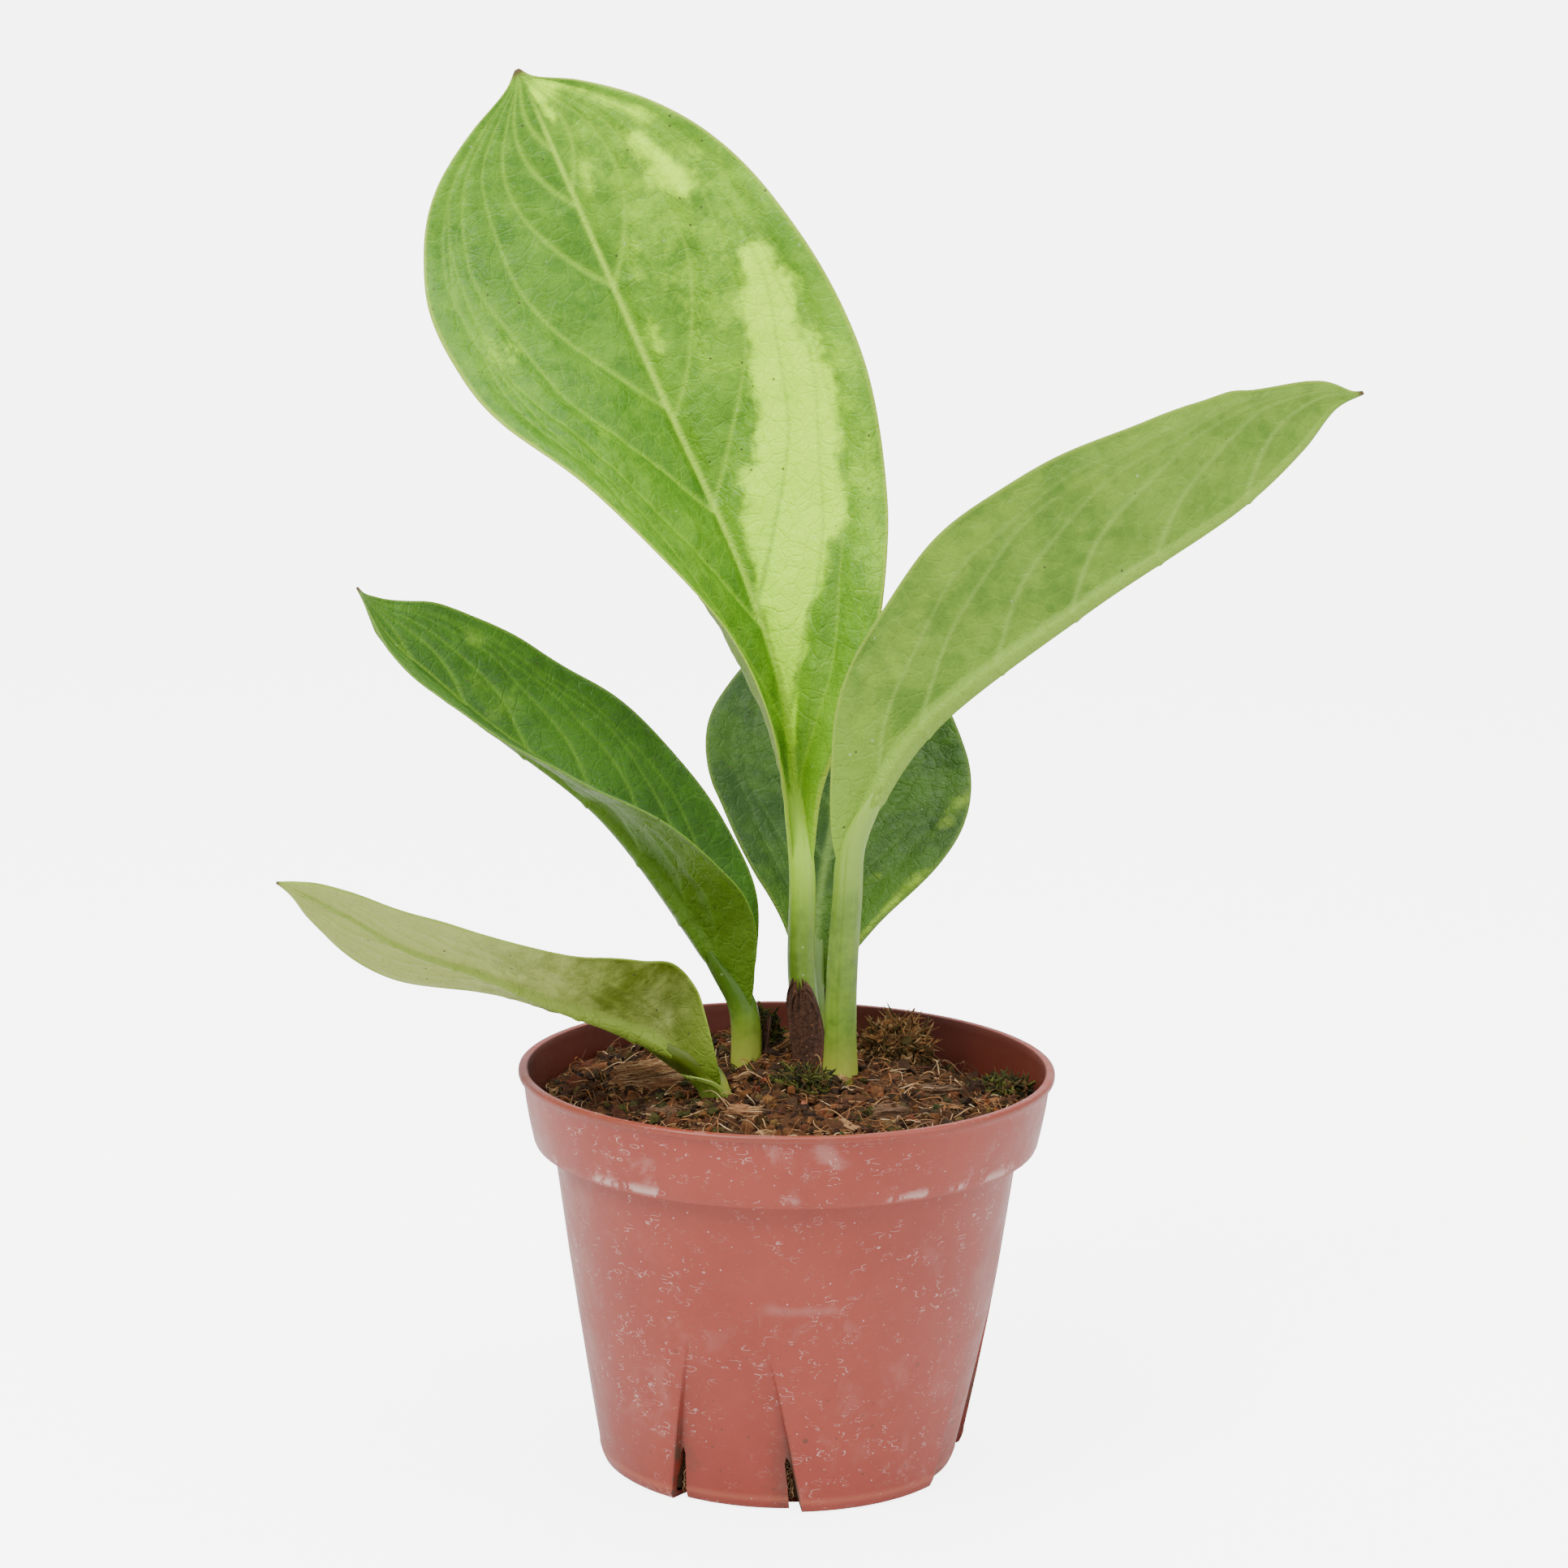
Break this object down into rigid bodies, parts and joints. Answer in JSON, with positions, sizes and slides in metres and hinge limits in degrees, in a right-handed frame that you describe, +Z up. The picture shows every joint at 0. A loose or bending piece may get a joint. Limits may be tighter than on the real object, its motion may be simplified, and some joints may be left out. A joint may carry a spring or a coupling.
{
  "type": "potted anthurium",
  "caption": "Young foliage plant with broad lance-shaped leaves on stout stems, growing in a coir and moss mix in a round flared plastic nursery pot.",
  "frame": {"origin": "centre of the pot's underside", "axes": "+Z up along the pot's axis; -Y is the display side, with the tall leaf leaning to -X and the long side leaf to +X"},
  "size_m": [0.2322, 0.1563, 0.3084],
  "materials": {
    "pot": "satin moulded plastic, scuffed and lime stained",
    "mix": "moist coir and bark mix",
    "rootstock": "rough living rootstock",
    "petiole": "satin living tissue",
    "tall_blade": "satin leaf with pale green marbling",
    "right_blade": "satin leaf, paler underneath",
    "left_blade": "semi-gloss leaf",
    "low_blade": "satin leaf, paler underneath",
    "rear_blade": "satin leaf",
    "cataphyll": "dry papery sheath",
    "bract": "satin living tissue",
    "husk": "fibrous coconut husk",
    "moss": "damp moss",
    "dried_moss": "dried moss",
    "bark": "rough bark"
  },
  "bodies": {
    "root": {"pot": "pot", "soil": "mix", "rootstock": "rootstock", "tall_leaf_petiole": "petiole", "tall_leaf_blade": "tall_blade", "right_leaf_petiole": "petiole", "right_leaf_blade": "right_blade", "left_leaf_petiole": "petiole", "left_leaf_blade": "left_blade", "low_leaf_petiole": "petiole", "low_leaf_blade": "low_blade", "rear_leaf_petiole": "petiole", "rear_leaf_blade": "rear_blade", "front_cataphyll": "cataphyll", "rear_cataphyll": "cataphyll", "side_cataphyll": "cataphyll", "green_bract": "bract", "husk_chip": "husk", "husk_bit": "husk", "centre_moss": "moss", "rear_moss": "moss", "dried_moss": "dried_moss", "rim_moss": "moss", "bark_chip_1": "bark", "bark_chip_2": "bark", "bark_chip_3": "bark"}
  },
  "joints": []
}
